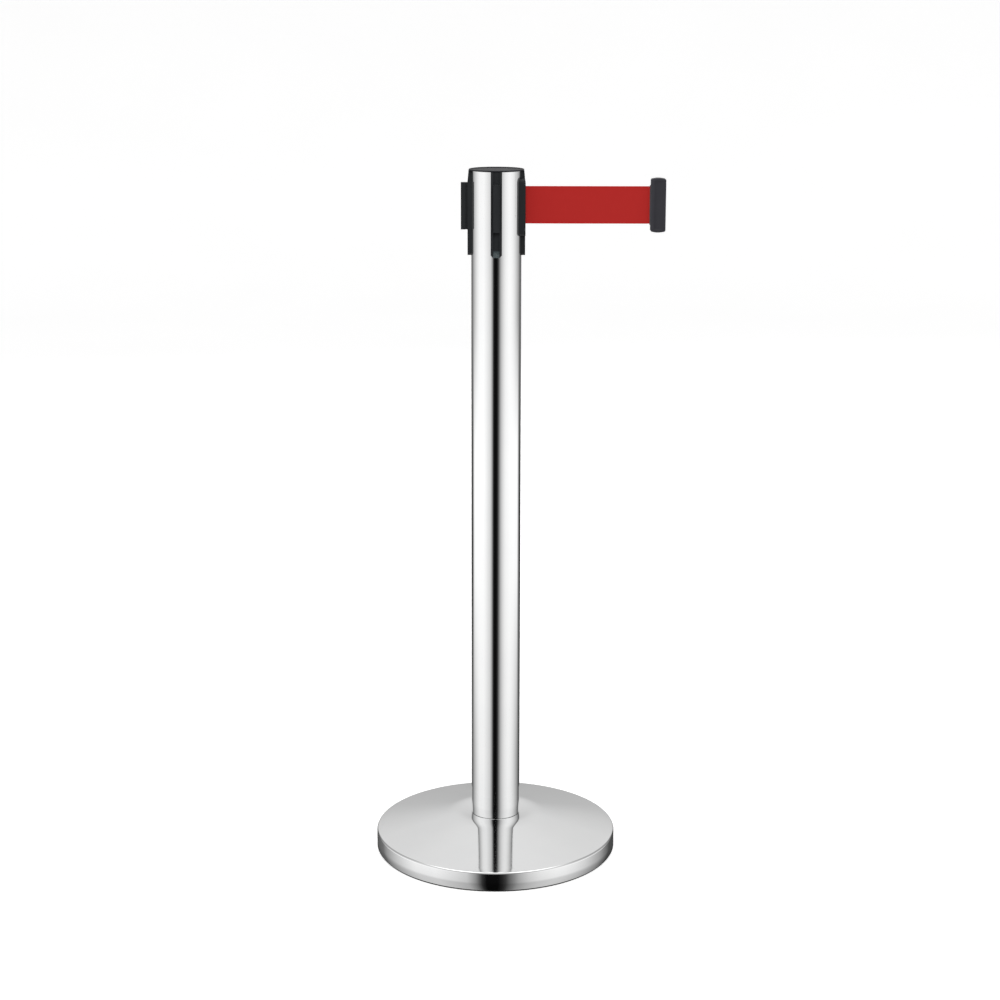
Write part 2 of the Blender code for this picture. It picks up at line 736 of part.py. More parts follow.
def clip_outline():
    """The clip seen from the front: straight sides and slightly domed ends."""
    inner, outer = CLIP_X + CLIP_LIP, CLIP_X + CLIP_LENGTH
    half_width = (outer - inner) / 2
    radius = (half_width**2 + CLIP_DOME**2) / (2 * CLIP_DOME)
    spread = math.degrees(math.asin(half_width / radius))
    centre_x, centre_z = inner + half_width, CLIP_HALF_HEIGHT + CLIP_DOME - radius
    upper = arc((centre_x, BELT_Z + centre_z), radius, 90 - spread, 90 + spread, 7)
    lower = arc((centre_x, BELT_Z - centre_z), radius, 270 - spread, 270 + spread, 7)
    return upper + lower


def clip_cutters():
    """The belt's pocket and slit, and the channel and mouth that take a receiver's rail from below."""
    open_low = BELT_Z - CLIP_HALF_HEIGHT - 0.006
    inside = CLIP_HALF_DEPTH - CLIP_WALL
    half_pocket, half_slit = BELT_WIDTH / 2 + 0.0025, BELT_WIDTH / 2 + 0.0006
    slit_half = BELT_THICK / 2 + GAP
    pocket_low = (CLIP_X + POCKET_X[0], -inside, BELT_Z - half_pocket)
    channel_low = (CLIP_X + CHANNEL_X[0], -inside, open_low)
    mouth_low = (CLIP_X + CHANNEL_X[1] - 0.0005, -MOUTH_HALF, open_low)
    slit_low = (CLIP_X - 0.001, -slit_half, BELT_Z - half_slit)
    tools = [
        box("clip_pocket", pocket_low, (CLIP_X + POCKET_X[1], inside, BELT_Z + half_pocket)),
        box("clip_channel", channel_low, (CLIP_X + CHANNEL_X[1], inside, BELT_Z + CHANNEL_TOP)),
        box("clip_mouth", mouth_low, (CLIP_X + CLIP_LENGTH + 0.001, MOUTH_HALF, BELT_Z + CHANNEL_TOP)),
        box("clip_slit", slit_low, (CLIP_X + POCKET_X[0] + 0.0004, slit_half, BELT_Z + half_slit)),
    ]
    for name, z in (("low", BELT_Z - CLIP_SCREW_Z), ("high", BELT_Z + CLIP_SCREW_Z)):
        x = CLIP_X + CLIP_SCREW_X
        tools.append(cylinder("clip_hole_" + name, 0.0012, (x, -0.0047, z), (x, 0.010, z), None, TINY))
        tools.append(cylinder("clip_bore_" + name, 0.0024, (x, 0.0046, z), (x, 0.010, z), None, TINY))
    return tools


def clip():
    tools = clip_cutters()
    flare_half = BELT_WIDTH / 2 + 0.0014
    for name, side in (("clip_front_shell", -1), ("clip_rear_shell", 1)):
        near, far = sorted((side * GAP / 2, side * CLIP_HALF_DEPTH))
        shell = prism(name, clip_outline(), near, far, "Y", GREY_PLASTIC)
        bevelled(shell, CLIP_EDGE)
        flare_near, flare_far = sorted((side * GAP / 2, side * CLIP_LIP_HALF))
        flare_low = (CLIP_X, flare_near, BELT_Z - flare_half)
        flare_high = (CLIP_X + CLIP_LIP + 0.001, flare_far, BELT_Z + flare_half)
        cut(join(shell, box(name + "_flare", flare_low, flare_high)), *tools)
    x, reach = CLIP_X + CLIP_PIN_X, BELT_WIDTH / 2 + 0.0022
    cylinder("clip_belt_pin", CLIP_PIN_RADIUS, (x, 0, BELT_Z - reach), (x, 0, BELT_Z + reach), ZINC_STEEL)
    for number, z in enumerate((BELT_Z - CLIP_SCREW_Z, BELT_Z + CLIP_SCREW_Z), 1):
        x, seat = CLIP_X + CLIP_SCREW_X, 0.0046 + GAP
        screw(f"clip_screw_{number}", (x, seat, z), (x, -0.0044, z), 0.0021, 0.0012, 0.0009)


# Assembly -----------------------------------------------------------------------------------------


def carry(axis_name, location, names):
    """Hangs the pieces that move together on an empty that stands on their joint's axis."""
    empty = bpy.data.objects.new(axis_name, None)
    empty.location = location
    PARTS.objects.link(empty)
    bpy.context.view_layer.update()
    for name in names:
        piece = bpy.data.objects[name]
        piece.parent = empty
        piece.matrix_parent_inverse = empty.matrix_world.inverted()


def build():
    floor_pad()
    base_weight()
    base_bolt()
    base_cover()
    post()
    head_core()
    top_cap()
    receivers()
    belt_outlet()
    cassette()
    arbor()
    spool_bushes()
    spool()
    spring_drum()
    belt()
    clip()
    spool_pieces = ["belt_spool", "spool_top_flange", "spring_drum_cover", "belt_inner_pin", "belt_coil"]
    spool_pieces += [f"spool_flange_screw_{number}" for number in (1, 2, 3)]
    spool_pieces += ["spool_bush_lower", "spool_bush_upper"]
    carry("spool_axis", (0, 0, BELT_Z), spool_pieces)
    clip_pieces = ["clip_front_shell", "clip_rear_shell", "clip_belt_pin", "clip_screw_1", "clip_screw_2"]
    carry("belt_pull_axis", (CLIP_X, 0, BELT_Z), clip_pieces + ["belt_strip"])


build()
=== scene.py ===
import json
import math

import bmesh
import bpy
from mathutils import Matrix, Vector


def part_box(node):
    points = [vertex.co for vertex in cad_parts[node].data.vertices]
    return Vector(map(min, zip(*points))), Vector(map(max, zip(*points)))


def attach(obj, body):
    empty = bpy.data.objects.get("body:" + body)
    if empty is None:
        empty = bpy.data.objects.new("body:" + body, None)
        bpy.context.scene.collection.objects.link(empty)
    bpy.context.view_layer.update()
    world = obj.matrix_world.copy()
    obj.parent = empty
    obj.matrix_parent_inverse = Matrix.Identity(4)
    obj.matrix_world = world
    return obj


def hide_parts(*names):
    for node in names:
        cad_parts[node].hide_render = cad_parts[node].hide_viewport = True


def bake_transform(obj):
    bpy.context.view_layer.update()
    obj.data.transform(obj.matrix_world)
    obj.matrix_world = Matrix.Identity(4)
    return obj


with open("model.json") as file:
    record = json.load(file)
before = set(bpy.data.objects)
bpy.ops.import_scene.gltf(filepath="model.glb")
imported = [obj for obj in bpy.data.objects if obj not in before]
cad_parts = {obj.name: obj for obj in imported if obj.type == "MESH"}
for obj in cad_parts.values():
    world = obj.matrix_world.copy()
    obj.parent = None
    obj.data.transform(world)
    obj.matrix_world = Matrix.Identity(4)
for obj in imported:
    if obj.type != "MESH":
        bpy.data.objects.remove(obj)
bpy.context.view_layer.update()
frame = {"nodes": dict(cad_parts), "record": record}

# The looks of a retractable belt stanchion, in metres with +Z up. The belt leaves the head along +X.
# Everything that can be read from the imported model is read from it. What follows is fine shape only.

GAP = 0.0003
WELD = 1e-6
ROUND = 256  # sides of a large polished piece
SMALL_ROUND = 48
SHARP = math.radians(32)

# Base cover
SHEET = 0.0012
RIM_ROUND = 0.003
RIM_TOP = 0.0262
SKIRT_LINE = 0.010  # height of a line of points round the skirt
HEM = 0.0004
FOOT_RING = 0.0006  # from the post's surface to the nearest points of the cover
DOME_SLOPE = 0.22
DISH_SLOPE = 0.09  # down from the crest to the post's foot
CREST_IN = 0.040
CREST_OUT = 0.066
BOLT_HOLE = 0.0075

# Slots of the post, and the bottom corners of the strips that fill them
SLOT_HALF = 0.0070
SLOT_CHAMFER = 0.0028
PAST = 0.001  # how far a cutter reaches past what it cuts

# The slope at the foot of a receiver's groove, which gets a painted highlight
RAMP_HEIGHT = 0.009
RAMP_SLOPES = (0.2, 0.7)  # of its normal along Z
RAMP_AREA = 0.00001

# Belt
WARP_RIBS = 44
WARP_RELIEF = 0.00007
SELVAGE = 0.0014
LOOP_RADIUS = 0.0022  # of the belt's end round its pin
TURN_X = 0.031  # where the belt turns into the outlet
TURN_REACH = 0.0022  # length of the turn on each side
LEAD_STEPS, TURN_STEPS, LOOP_STEPS = 8, 6, 24

# Clip, with X from its inner end and Z from the belt's middle
CLIP_LIP = 0.0011
CLIP_DOME = 0.0015
CLIP_CORNER = 0.0022
CLIP_WALL = 0.002
CLIP_LIP_HALF = 0.003
POCKET_X = (0.0028, 0.0094)
CHANNEL_X = (0.0114, 0.0180)
CHANNEL_TOP = 0.0311
MOUTH_X = 0.0175
MOUTH_HALF = 0.0029
PANEL_X = (0.0058, 0.0172)
PANEL_HALF = 0.0303
PANEL_STEP = 0.0010
BAND_TILT = 0.0009  # how far the inner band's face falls back towards the inner end
SCREW_X = 0.0064
SCREW_Z = 0.0295
BORE_HEAD, BORE_SHANK = 0.0024, 0.0012  # radii of a screw's bore
BORE_OPEN, BORE_SEAT, BORE_END = 0.010, 0.0046, -0.0047
Z_TO_REAR = Matrix.Rotation(-math.pi / 2, 4, "X")  # lays a piece that is made along Z towards +Y

# Camera
LENS = 74.4
EYE = (0.0051, -2.604, 1.100)
LOOK_DOWN = math.radians(11.87)
ROLL = math.radians(0.11)
SHIFT_DOWN = 0.06


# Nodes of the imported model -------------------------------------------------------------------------


def low(name):
    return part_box(name)[0]


def high(name):
    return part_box(name)[1]


def middle(name):
    return (low(name) + high(name)) / 2


POST_RADIUS = high("post_tube").x
POST_LOW, POST_TOP = low("post_tube").z, high("post_tube").z
BASE_RADIUS = high("base_cover").x
COVER_LOW = low("base_cover").z
RIB_LOW = low("receiver_left").z
BELT_LOW, BELT_HIGH = low("belt_strip").z, high("belt_strip").z
BELT_Z = (BELT_LOW + BELT_HIGH) / 2
BELT_WIDTH = BELT_HIGH - BELT_LOW
BELT_THICK = 0.0006
CLIP_X = low("clip_front_shell").x
CLIP_END = high("clip_front_shell").x
CLIP_HALF_DEPTH = high("clip_rear_shell").y
CLIP_HALF_HEIGHT = high("clip_front_shell").z - BELT_Z - CLIP_DOME
BEZEL_OUT = high("belt_outlet").x
STRETCH_FROM = BEZEL_OUT - 0.002  # just inside the outlet


# Mesh tools ----------------------------------------------------------------------------------------


def object_of(name, shape):
    mesh = bpy.data.meshes.new(name)
    shape.to_mesh(mesh)
    shape.free()
    obj = bpy.data.objects.new(name, mesh)
    bpy.context.scene.collection.objects.link(obj)
    smooth(obj)
    return obj


def smooth(obj):
    obj.data.shade_smooth()
    obj.data.set_sharp_from_angle(angle=SHARP)


def spin(shape, line, steps):
    """Turns a line of vertices and edges once round Z."""
    bmesh.ops.spin(
        shape, geom=line, cent=(0, 0, 0), axis=(0, 0, 1), angle=2 * math.pi, steps=steps, use_merge=True
    )
    bmesh.ops.remove_doubles(shape, verts=shape.verts, dist=WELD)


def turned(name, profile, steps=ROUND):
    """A closed profile of (radius, height) points turned about Z. It may start and end on the axis."""
    shape = bmesh.new()
    points = [shape.verts.new((radius, 0, height)) for radius, height in profile]
    pairs = list(zip(points, points[1:]))
    if profile[0][0] > 0:
        pairs.append((points[-1], points[0]))
    edges = [shape.edges.new(pair) for pair in pairs]
    spin(shape, points + edges, steps)
    bmesh.ops.recalc_face_normals(shape, faces=shape.faces)
    return object_of(name, shape)


def prism(name, outline, start, run):
    """A flat outline of 3D points, moved to start and extruded along the vector run."""
    shape = bmesh.new()
    face = shape.faces.new([shape.verts.new(Vector(start) + Vector(point)) for point in outline])
    raised = bmesh.ops.extrude_face_region(shape, geom=[face])["geom"]
    moved = [item for item in raised if isinstance(item, bmesh.types.BMVert)]
    bmesh.ops.translate(shape, verts=moved, vec=run)
    bmesh.ops.recalc_face_normals(shape, faces=shape.faces)
    return object_of(name, shape)


def box(name, corner, opposite):
    corner, opposite = Vector(corner), Vector(opposite)
    size = Matrix.Diagonal((*(opposite - corner), 1))
    shape = bmesh.new()
    bmesh.ops.create_cube(shape, size=1, matrix=Matrix.Translation((corner + opposite) / 2) @ size)
    return object_of(name, shape)


def settled(obj):
    """Puts the result of the object's modifiers into its mesh."""
    bpy.context.view_layer.update()
    graph = bpy.context.evaluated_depsgraph_get()
    mesh = bpy.data.meshes.new_from_object(obj.evaluated_get(graph))
    obj.modifiers.clear()
    obj.data = mesh
    smooth(obj)
    return obj


def combined(target, operation, tools):
    """Cuts the tools from the target, or joins them to it, and removes them."""
    for tool in tools:
        boolean = target.modifiers.new(tool.name, "BOOLEAN")
        boolean.operation = operation
        boolean.object = tool
    settled(target)
    for tool in tools:
        bpy.data.objects.remove(tool)
    return target


def cut(target, *tools):
    return combined(target, "DIFFERENCE", tools)


def join(target, *tools):
    return combined(target, "UNION", tools)


def rounded(obj, width, segments=3, angle=35):
    bevel = obj.modifiers.new("Rounded edges", "BEVEL")
    bevel.width = width
    bevel.segments = segments
    bevel.limit_method = "ANGLE"
    bevel.angle_limit = math.radians(angle)
    bevel.use_clamp_overlap = True
    return settled(obj)


def even_shading(obj):
    """Keeps flat faces flat beside their rounded edges."""
    weighted = obj.modifiers.new("Even shading", "WEIGHTED_NORMAL")
    weighted.keep_sharp = True
    return obj


def arc(centre, radius, start, end, steps):
    """Points on an arc in degrees, both ends included."""
    angles = [math.radians(start + (end - start) * step / steps) for step in range(steps + 1)]
    return [(centre[0] + radius * math.cos(a), centre[1] + radius * math.sin(a)) for a in angles]


def offset(points, distance):
    """A line of 2D points moved sideways to its right by a distance."""
    moved = []
    for index, (x, y) in enumerate(points):
        before, after = points[max(index - 1, 0)], points[min(index + 1, len(points) - 1)]
        along = Vector((after[0] - before[0], after[1] - before[1])).normalized()
        moved.append((x + along.y * distance, y - along.x * distance))
    return moved


def copied(name, node_name):
    """A CAD node's shape as a new piece, with the triangles of each flat face merged."""
    shape = bmesh.new()
    shape.from_mesh(frame["nodes"][node_name].data)
    bmesh.ops.remove_doubles(shape, verts=shape.verts, dist=WELD)
    bmesh.ops.dissolve_limit(shape, angle_limit=math.radians(0.5), verts=shape.verts, edges=shape.edges)
    return object_of(name, shape)


def finished(piece, material, nodes, body="root"):
    """Gives a piece its material and slot, lets it stand for its CAD nodes, and rides it on a body."""
    piece.data.materials.clear()
    piece.data.materials.append(material)
    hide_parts(*nodes)
    if body:
        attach(piece, body)
    return piece


# Node tools ----------------------------------------------------------------------------------------


def node(tree, kind, inputs=None, **settings):
    """Adds a node. An input is a plain value, or another node's output, which is linked."""
    made = tree.nodes.new(kind)
    for name, value in settings.items():
        setattr(made, name, value)
    for name, value in (inputs or {}).items():
        if isinstance(value, bpy.types.NodeSocket):
            tree.links.new(value, made.inputs[name])
        else:
            made.inputs[name].default_value = value
    return made


def math_node(tree, operation, first, second=0.0):
    return node(tree, "ShaderNodeMath", {0: first, 1: second}, operation=operation).outputs[0]


def ramp(tree, factor, stops, smoothing="EASE"):
    made = node(tree, "ShaderNodeValToRGB", {"Fac": factor})
    elements = made.color_ramp.elements
    made.color_ramp.interpolation = smoothing
    while len(elements) < len(stops):
        elements.new(0.5)
    for element, (position, value) in zip(elements, stops):
        element.position = position
        element.color = (value, value, value, 1.0)
    return made.outputs["Color"]


def mapped(tree, value, start, end, low_value, high_value):
    inputs = {"Value": value, "From Min": start, "From Max": end, "To Min": low_value, "To Max": high_value}
    return node(tree, "ShaderNodeMapRange", inputs).outputs["Result"]


def mixed(tree, factor, first, second):
    """Colour between two colours."""
    made = tree.nodes.new("ShaderNodeMix")
    made.data_type = "RGBA"
    for index, value in ((0, factor), (6, first), (7, second)):
        if isinstance(value, bpy.types.NodeSocket):
            tree.links.new(value, made.inputs[index])
        else:
            made.inputs[index].default_value = value
    return made.outputs[2]


def place(tree):
    return node(tree, "ShaderNodeTexCoord").outputs["Object"]


def stretched(tree, position, scale):
    return node(tree, "ShaderNodeVectorMath", {0: position, 1: scale}, operation="MULTIPLY").outputs[0]


def noise(tree, position, scale, detail=2.0, roughness=0.5):
    inputs = {"Vector": position, "Scale": scale, "Detail": detail, "Roughness": roughness}
    return node(tree, "ShaderNodeTexNoise", inputs).outputs["Fac"]


def bump(tree, height, strength, distance, before=None):
    inputs = {"Height": height, "Strength": strength, "Distance": distance}
    if before is not None:
        inputs["Normal"] = before
    return node(tree, "ShaderNodeBump", inputs).outputs["Normal"]


def shade(colour, factor):
    return (*(part * factor for part in colour), 1.0)


def new_material(name, metallic=0.0, specular=0.5):
    material = bpy.data.materials.new(name)
    material.use_nodes = True
    tree = material.node_tree
    shader = tree.nodes["Principled BSDF"]
    shader.inputs["Metallic"].default_value = metallic
    shader.inputs["Specular IOR Level"].default_value = specular
    return material, tree, shader


def connect(tree, shader, **sockets):
    for name, value in sockets.items():
        tree.links.new(value, shader.inputs[name.replace("_", " ")])


# Materials -----------------------------------------------------------------------------------------


MARKS_ACROSS, MARKS_ALONG = 2400.0, 9.0  # per metre


def polishing_marks(tree, turned_flat):
    """Fine lines round Z: on the post they follow each other up its height, on the dome outwards."""
    position = place(tree)
    if not turned_flat:
        return noise(tree, stretched(tree, position, (MARKS_ALONG, MARKS_ALONG, MARKS_ACROSS)), 1.0, 3.0)
    parts = node(tree, "ShaderNodeSeparateXYZ", {0: position})
    flat = node(tree, "ShaderNodeCombineXYZ", {0: parts.outputs[0], 1: parts.outputs[1]}).outputs[0]
    radius = node(tree, "ShaderNodeVectorMath", {0: flat}, operation="LENGTH").outputs["Value"]
    outwards = math_node(tree, "MULTIPLY", radius, MARKS_ACROSS)
    sideways = math_node(tree, "MULTIPLY", parts.outputs[0], MARKS_ALONG)
    rings = node(tree, "ShaderNodeCombineXYZ", {0: outwards, 1: sideways})
    return noise(tree, rings.outputs[0], 1.0, 3.0)


def polished_steel(name, turned_flat=False):
    material, tree, shader = new_material(name, metallic=1.0)
    marks = polishing_marks(tree, turned_flat)
    haze = noise(tree, place(tree), 16.0, 3.0)
    wiped = noise(tree, stretched(tree, place(tree), (60, 60, 7)), 1.0, 4.0, 0.65)
    colour = mixed(tree, haze, (0.80, 0.805, 0.81, 1), (0.86, 0.86, 0.855, 1))
    hazy, streaky = mapped(tree, haze, 0.35, 0.7, 0.0, 0.02), mapped(tree, wiped, 0.4, 0.75, 0.0, 0.015)
    film = math_node(tree, "ADD", hazy, streaky)
    roughness = math_node(tree, "ADD", film, mapped(tree, marks, 0.3, 0.7, 0.035, 0.06))
    connect(tree, shader, Base_Color=colour, Roughness=roughness, Normal=bump(tree, marks, 0.05, 0.00004))
    return material


def moulded_plastic(name, colour, roughness, grain=1500.0, specular=0.4):
    material, tree, shader = new_material(name, specular=specular)
    cloud = noise(tree, place(tree), 45.0, 3.0)
    pores = noise(tree, place(tree), grain, 2.0, 0.6)
    flow = noise(tree, stretched(tree, place(tree), (160, 160, 25)), 1.0, 2.0)
    worn = mapped(tree, node(tree, "ShaderNodeNewGeometry").outputs["Pointiness"], 0.51, 0.60, 0.0, 1.0)
    base = mixed(tree, cloud, shade(colour, 0.85), shade(colour, 1.15))
    base = mixed(tree, math_node(tree, "MULTIPLY", worn, 0.5), base, shade(colour, 2.4))
    dull = mapped(tree, flow, 0.3, 0.7, roughness - 0.05, roughness + 0.05)
    rough = math_node(tree, "SUBTRACT", dull, math_node(tree, "MULTIPLY", worn, 0.08))
    connect(tree, shader, Base_Color=base, Roughness=rough, Normal=bump(tree, pores, 0.22, 0.00006))
    return material


def wave(tree, value, pitch, phase=0.0):
    """A smooth wave from 0 to 1 along a coordinate."""
    turns = math_node(tree, "MULTIPLY_ADD", value, 2 * math.pi / pitch)
    turns.node.inputs[2].default_value = phase
    return mapped(tree, math_node(tree, "SINE", turns), -1.0, 1.0, 0.0, 1.0)


def webbing(name, colour):
    """Twill of polyester yarn: warp ribs along the belt, weft across it, and a closer, darker selvage."""
    material, tree, shader = new_material(name, specular=0.25)
    parts = node(tree, "ShaderNodeSeparateXYZ", {0: place(tree)})
    along, across = parts.outputs["X"], parts.outputs["Z"]
    from_middle = math_node(tree, "ABSOLUTE", math_node(tree, "SUBTRACT", across, BELT_Z))
    pitch = (BELT_WIDTH - 2 * SELVAGE) / WARP_RIBS
    slant = math_node(tree, "MULTIPLY_ADD", across, 0.5)
    tree.links.new(along, slant.node.inputs[2])
    weft = wave(tree, slant, pitch * 1.1)
    warp = wave(tree, math_node(tree, "SUBTRACT", across, BELT_LOW + SELVAGE), pitch, -math.pi / 2)
    filaments = noise(tree, stretched(tree, place(tree), (900, 900, 7000)), 1.0, 2.0)
    weft, warp = math_node(tree, "POWER", weft, 0.6), math_node(tree, "POWER", warp, 0.5)
    yarn = math_node(tree, "MULTIPLY", weft, warp)
    height = math_node(tree, "MULTIPLY_ADD", filaments, 0.25)
    tree.links.new(yarn, height.node.inputs[2])
    half = BELT_WIDTH / 2
    edge = mapped(tree, from_middle, half - SELVAGE * 1.15, half - SELVAGE * 0.8, 0.0, 1.0)
    cloud = noise(tree, place(tree), 30.0, 3.0)
    # Painted shade and painted highlight: the red is darker where the weave dips between yarns and lighter
    # on the yarn tops
    base = mixed(tree, yarn, shade(colour, 0.72), shade(colour, 1.10))
    base = mixed(tree, mapped(tree, cloud, 0.3, 0.7, 0.0, 0.25), base, shade(colour, 0.85))
    selvage = (colour[0] * 0.95, colour[1] * 0.2, colour[2] * 0.2, 1)
    base = mixed(tree, math_node(tree, "MULTIPLY", edge, 0.65), base, selvage)
    rough = mapped(tree, yarn, 0.0, 1.0, 0.9, 0.72)
    connect(tree, shader, Base_Color=base, Roughness=rough, Normal=bump(tree, height, 0.5, 0.00012))
    shader.inputs["Sheen Weight"].default_value = 0.08
    shader.inputs["Sheen Roughness"].default_value = 0.4
    shader.inputs["Sheen Tint"].default_value = (1.0, 0.45, 0.4, 1.0)
    return material


def rubber(name, colour):
    material, tree, shader = new_material(name, specular=0.3)
    dust = noise(tree, place(tree), 220.0, 4.0, 0.7)
    pits = noise(tree, place(tree), 1600.0, 2.0)
    base = mixed(tree, mapped(tree, dust, 0.5, 0.8, 0.0, 0.5), shade(colour, 1.0), shade(colour, 3.5))
    rough = mapped(tree, dust, 0.3, 0.7, 0.75, 0.95)
    connect(tree, shader, Base_Color=base, Roughness=rough, Normal=bump(tree, pits, 0.4, 0.0001))
    return material


def cast_iron(name):
    material, tree, shader = new_material(name, metallic=0.4)
    sand = noise(tree, place(tree), 700.0, 5.0, 0.7)
    runs = noise(tree, place(tree), 40.0, 4.0)
    rust = mapped(tree, runs, 0.56, 0.70, 0.0, 0.7)
    base = mixed(tree, sand, (0.035, 0.035, 0.037, 1), (0.075, 0.075, 0.077, 1))
    base = mixed(tree, rust, base, (0.10, 0.045, 0.022, 1))
    rough = mapped(tree, sand, 0.3, 0.7, 0.6, 0.85)
    connect(tree, shader, Base_Color=base, Roughness=rough, Normal=bump(tree, sand, 0.6, 0.0004))
    return material


def plated_steel(name, dark, bright, roughness):
    """Zinc plate or blued strip: a metal with a crystalline film and drawn streaks."""
    material, tree, shader = new_material(name, metallic=1.0)
    film = node(tree, "ShaderNodeTexVoronoi", {"Vector": place(tree), "Scale": 900.0}).outputs["Distance"]
    streaks = noise(tree, stretched(tree, place(tree), (1500, 1500, 60)), 1.0, 3.0)
    base = mixed(tree, mapped(tree, film, 0.0, 0.8, 0.0, 1.0), dark, bright)
    rough = mapped(tree, streaks, 0.3, 0.7, roughness - 0.06, roughness + 0.08)
    connect(tree, shader, Base_Color=base, Roughness=rough, Normal=bump(tree, streaks, 0.15, 0.00004))
    return material


STEEL_POST = polished_steel("steel_post_finish")
STEEL_DOME = polished_steel("steel_dome_finish", turned_flat=True)
CAP_FINISH = moulded_plastic("cap_finish", (0.010, 0.010, 0.013), 0.50, specular=0.25)
# Painted highlight: a lighter plastic for the slope at the foot of each receiver's groove, in place of the
# light it catches from above
RAMP_HIGHLIGHT_PLASTIC = moulded_plastic("ramp_painted_highlight_finish", (0.033, 0.043, 0.045), 0.34, specular=0.6)
SLOT_FINISH = {
    "polished_steel": STEEL_POST,
    "zinc_steel": plated_steel("zinc_plate_finish", (0.50, 0.52, 0.53, 1), (0.66, 0.66, 0.64, 1), 0.34),
    "spring_steel": plated_steel("blued_spring_finish", (0.16, 0.19, 0.27, 1), (0.34, 0.36, 0.40, 1), 0.30),
    "cast_iron": cast_iron("cast_iron_finish"),
    "black_plastic": moulded_plastic("black_plastic_finish", (0.0125, 0.0135, 0.0145), 0.42),
    "grey_plastic": moulded_plastic("cassette_plastic_finish", (0.050, 0.050, 0.052), 0.45),
    "clip_plastic": moulded_plastic("clip_plastic_finish", (0.034, 0.0335, 0.040), 0.44),
    "nylon": moulded_plastic("nylon_finish", (0.75, 0.74, 0.70), 0.40, 900.0),
    "rubber": rubber("rubber_finish", (0.012, 0.012, 0.012)),
    "red_webbing": webbing("webbing_finish", (0.55, 0.0275, 0.0245)),
}


# Base ----------------------------------------------------------------------------------------------


def dome_height(radius):
    """Height of the cover: a gentle cone that rounds over at a crest and dips to the post's foot."""
    inside = max(CREST_OUT - radius, 0.0)
    width = CREST_OUT - CREST_IN
    share = max(1 - inside / width, 0.0)
    rounding = (DOME_SLOPE + DISH_SLOPE) * width * (0.5 - share**3 + share**4 / 2)
    cone = RIM_TOP + DOME_SLOPE * (BASE_RADIUS - RIM_ROUND - max(radius, CREST_OUT))
    return cone - DISH_SLOPE * inside + rounding


def cover_line():
    """The cover's outside, from the bolt hole under the post over the dome to the skirt's lower edge."""
    seat, outer = dome_height(POST_RADIUS), BASE_RADIUS - RIM_ROUND
    line = [(BOLT_HOLE, seat), (POST_RADIUS * 0.6, seat), (POST_RADIUS - FOOT_RING, seat)]
    crest_steps, cone_steps = 28, 12
    for step in range(crest_steps + 1):
        radius = POST_RADIUS + FOOT_RING + (CREST_OUT - POST_RADIUS - FOOT_RING) * step / crest_steps
        line.append((radius, dome_height(radius)))
    for step in range(1, cone_steps):
        radius = CREST_OUT + (outer - CREST_OUT) * step / cone_steps
        line.append((radius, dome_height(radius)))
    line += arc((outer, RIM_TOP - RIM_ROUND), RIM_ROUND, 90 - math.degrees(math.atan(DOME_SLOPE)), 0, 12)
    line += [(BASE_RADIUS, COVER_LOW + SKIRT_LINE), (BASE_RADIUS, COVER_LOW + HEM)]
    return line + [(BASE_RADIUS - HEM / 2, COVER_LOW)]


def base_cover():
    line = cover_line()
    inside = offset(line, SHEET)
    inside[-1] = (BASE_RADIUS - SHEET, COVER_LOW)
    inside[0] = (BOLT_HOLE, dome_height(POST_RADIUS) - SHEET)
    piece = turned("steel_dome", line + inside[::-1])
    finished(piece, STEEL_DOME, ["base_cover"])


def floor_pad():
    radius, top = high("floor_pad").x, high("floor_pad").z
    edge, groove = 0.0005, 0.0004
    profile = [(0, top), (radius - edge, top), (radius, top - edge), (radius, edge), (radius - edge, 0)]
    for ring in (0.150, 0.144, 0.060, 0.054):
        profile += [(ring, 0), (ring - groove, groove), (ring - 2 * groove, groove), (ring - 3 * groove, 0)]
    piece = turned("rubber_pad", profile + [(0, 0)])
    finished(piece, SLOT_FINISH["rubber"], ["floor_pad"])


# Post ----------------------------------------------------------------------------------------------


def slot_outline():
    bottom, corner, over = RIB_LOW - GAP, SLOT_CHAMFER, POST_TOP + 0.01
    right = [(corner - SLOT_HALF, bottom), (SLOT_HALF - corner, bottom), (SLOT_HALF, bottom + corner)]
    return right + [(SLOT_HALF, over), (-SLOT_HALF, over), (-SLOT_HALF, bottom + corner)]


def post_tube():
    edge, bore = 0.0002, POST_RADIUS - SHEET
    profile = [
        (bore + edge, POST_TOP),
        (POST_RADIUS - edge, POST_TOP),
        (POST_RADIUS, POST_TOP - edge),
        (POST_RADIUS, POST_LOW + edge),
        (POST_RADIUS - edge, POST_LOW),
        (bore, POST_LOW),
        (bore, POST_TOP - edge),
    ]
    tube = turned("steel_tube", profile)
    reach = POST_RADIUS * 1.5
    slot_x = prism("slot_x", [(0, y, z) for y, z in slot_outline()], (-reach, 0, 0), (2 * reach, 0, 0))
    slot_y = prism("slot_y", [(x, 0, z) for x, z in slot_outline()], (0, -reach, 0), (0, 2 * reach, 0))
    cut(tube, slot_x, slot_y)
    finished(tube, STEEL_POST, ["post_tube"])


# Head ----------------------------------------------------------------------------------------------


def top_cap():
    """A slightly sunk disc inside a rounded rim, with its spigot underneath."""
    radius, top = high("top_cap").x, high("top_cap").z
    rim, edge, chamfer = 0.0008, 0.0003, 0.0005
    disc, crown = top - 0.0011, 0.0002
    under, spigot_low = top - 0.0016, low("top_cap").z
    spigot, wall = 0.0251, 0.0015
    profile = [(0, disc + crown), (radius * 0.5, disc + crown * 0.75), (radius - rim * 3.4, disc)]
    profile += arc((radius - rim * 1.6, top - rim), rim, 170, 90, 6)
    profile += arc((radius - rim, top - rim), rim, 90, 0, 8)
    profile += arc((radius - edge, under + edge), edge, 0, -90, 3)
    profile += [(spigot, under), (spigot, spigot_low + chamfer), (spigot - chamfer, spigot_low)]
    profile += [(spigot - wall, spigot_low), (spigot - wall, under), (0, under)]
    piece = turned("cap_disc", profile)
    finished(piece, CAP_FINISH, ["top_cap"])


